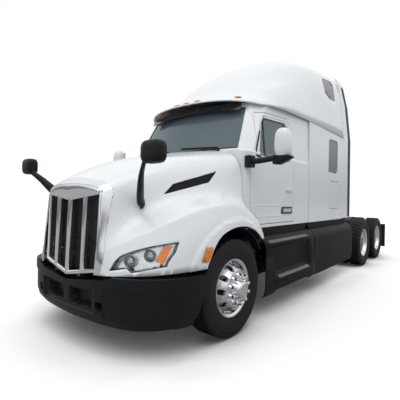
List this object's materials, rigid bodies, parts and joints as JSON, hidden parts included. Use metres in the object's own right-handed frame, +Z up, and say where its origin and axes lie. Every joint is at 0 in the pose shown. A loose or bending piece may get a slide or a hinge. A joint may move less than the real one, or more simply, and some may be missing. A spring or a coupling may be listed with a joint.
{
  "type": "semi truck tractor unit",
  "caption": "Conventional tractor unit with high-roof sleeper, tilting hood, steered front axle and twin-wheel drive axles, ready to couple to a trailer",
  "frame": {"origin": "middle of the footprint on the ground", "axes": "+X forward, +Y to the truck's left, +Z up"},
  "size_m": [8.7, 3.14, 3.9499],
  "materials": {
    "body_white": "glossy white paint",
    "trim_black": "moulded charcoal plastic, light grain",
    "gloss_black": "smooth black",
    "chrome_bright": "bright chrome",
    "wheel_aluminium": "polished",
    "tread_grey": "ribbed grip",
    "tyre_rubber": "matt black",
    "edge_rubber": "matt black",
    "frame_paint": "satin black",
    "cast_dark": "painted casting",
    "greased_steel": "dark plate with grease",
    "tank_aluminium": "brushed",
    "clear_glass": "blue-grey tint",
    "dark_glass": "grey privacy tint",
    "lamp_lens": "clear lens",
    "lamp_amber": "amber lens",
    "lamp_red": "red lens",
    "interior_grey": "soft grey moulding",
    "seat_fabric": "woven grey",
    "core_metal": "dull finned core"
  },
  "bodies": {
    "chassis": {"frame_rails": "frame_paint", "front_axle": "cast_dark", "drive_axles": "cast_dark", "rear_suspension": "cast_dark", "engine_block": "cast_dark", "radiator": "core_metal", "bumper": "trim_black", "fuel_tanks": "tank_aluminium", "side_fairings": "trim_black", "fairing_steps": "tread_grey", "cab_shell": "body_white", "sleeper_shell": "body_white", "roof_fairing": "body_white", "windscreen": "clear_glass", "sleeper_glass": "dark_glass", "side_extenders": "body_white", "extender_edges": "edge_rubber", "sun_visor": "gloss_black", "dashboard": "interior_grey", "cab_cushions": "seat_fabric", "fifth_wheel_base": "frame_paint", "mudflaps": "edge_rubber", "tail_lamps": "lamp_red", "roof_markers": "lamp_amber", "cab_mirrors": "trim_black"},
    "hood_lid": {"hood_shell": "body_white", "grille": "chrome_bright", "grille_mesh": "gloss_black", "headlamps": "lamp_lens", "wheel_liners": "trim_black", "hood_mirrors": "trim_black", "hood_vents": "trim_black", "fender_markers": "lamp_amber"},
    "cab_door_left": {"door_left": "body_white", "door_glass_left": "clear_glass"},
    "locker_lid_left": {"locker_door_left": "body_white"},
    "steering_knuckle_left": {"knuckle_left": "cast_dark"},
    "front_wheel_left": {"tyre_front_left": "tyre_rubber", "rim_front_left": "wheel_aluminium"},
    "first_drive_wheels_left": {"tyres_first_left": "tyre_rubber", "rims_first_left": "wheel_aluminium"},
    "second_drive_wheels_left": {"tyres_second_left": "tyre_rubber", "rims_second_left": "wheel_aluminium"},
    "cab_door_right": {"door_right": "body_white", "door_glass_right": "clear_glass"},
    "locker_lid_right": {"locker_door_right": "body_white"},
    "steering_knuckle_right": {"knuckle_right": "cast_dark"},
    "front_wheel_right": {"tyre_front_right": "tyre_rubber", "rim_front_right": "wheel_aluminium"},
    "first_drive_wheels_right": {"tyres_first_right": "tyre_rubber", "rims_first_right": "wheel_aluminium"},
    "second_drive_wheels_right": {"tyres_second_right": "tyre_rubber", "rims_second_right": "wheel_aluminium"},
    "steering_rod": {"tie_rod": "cast_dark"},
    "coupler": {"fifth_wheel_plate": "greased_steel"}
  },
  "joints": [
    {"name": "hood_tilt", "type": "hinge", "parent": "chassis", "child": "hood_lid", "pos_m": [4.295, 0, 0.7], "axis": [0, 1, 0], "range_deg": [0, 70]},
    {"name": "door_swing_left", "type": "hinge", "parent": "chassis", "child": "cab_door_left", "pos_m": [2.624, 1.048, 1.56], "axis": [0, 0, -1], "range_deg": [0, 68]},
    {"name": "locker_swing_left", "type": "hinge", "parent": "chassis", "child": "locker_lid_left", "pos_m": [-0.096, 1.075, 1.545], "axis": [0, 0, -1], "range_deg": [0, 100]},
    {"name": "steer_left", "type": "hinge", "parent": "chassis", "child": "steering_knuckle_left", "pos_m": [3.1, 0.855, 0.51], "axis": [0, 0, 1], "range_deg": [-40, 40]},
    {"name": "front_roll_left", "type": "hinge", "parent": "steering_knuckle_left", "child": "front_wheel_left", "pos_m": [3.1, 1.035, 0.51], "axis": [0, 1, 0], "continuous": true},
    {"name": "first_drive_roll_left", "type": "hinge", "parent": "chassis", "child": "first_drive_wheels_left", "pos_m": [-2.12, 0.9, 0.51], "axis": [0, 1, 0], "continuous": true},
    {"name": "second_drive_roll_left", "type": "hinge", "parent": "chassis", "child": "second_drive_wheels_left", "pos_m": [-3.44, 0.9, 0.51], "axis": [0, 1, 0], "continuous": true},
    {"name": "door_swing_right", "type": "hinge", "parent": "chassis", "child": "cab_door_right", "pos_m": [2.624, -1.048, 1.56], "axis": [0, 0, 1], "range_deg": [0, 68]},
    {"name": "locker_swing_right", "type": "hinge", "parent": "chassis", "child": "locker_lid_right", "pos_m": [-0.096, -1.075, 1.545], "axis": [0, 0, 1], "range_deg": [0, 100]},
    {"name": "steer_right", "type": "hinge", "parent": "chassis", "child": "steering_knuckle_right", "pos_m": [3.1, -0.855, 0.51], "axis": [0, 0, 1], "range_deg": [-40, 40]},
    {"name": "front_roll_right", "type": "hinge", "parent": "steering_knuckle_right", "child": "front_wheel_right", "pos_m": [3.1, -1.035, 0.51], "axis": [0, 1, 0], "continuous": true},
    {"name": "first_drive_roll_right", "type": "hinge", "parent": "chassis", "child": "first_drive_wheels_right", "pos_m": [-2.12, -0.9, 0.51], "axis": [0, 1, 0], "continuous": true},
    {"name": "second_drive_roll_right", "type": "hinge", "parent": "chassis", "child": "second_drive_wheels_right", "pos_m": [-3.44, -0.9, 0.51], "axis": [0, 1, 0], "continuous": true},
    {"name": "rod_pivot", "type": "hinge", "parent": "steering_knuckle_left", "child": "steering_rod", "pos_m": [2.91, 0.855, 0.39], "axis": [0, 0, 1], "range_deg": [-40, 40]},
    {"name": "coupler_tilt", "type": "hinge", "parent": "chassis", "child": "coupler", "pos_m": [-2.68, 0, 1.075], "axis": [0, 1, 0], "range_deg": [-15, 15]}
  ],
  "couplings": [
    {"joint": "steer_right", "follows": "steer_left", "ratio": 1},
    {"joint": "rod_pivot", "follows": "steer_left", "ratio": -1}
  ]
}
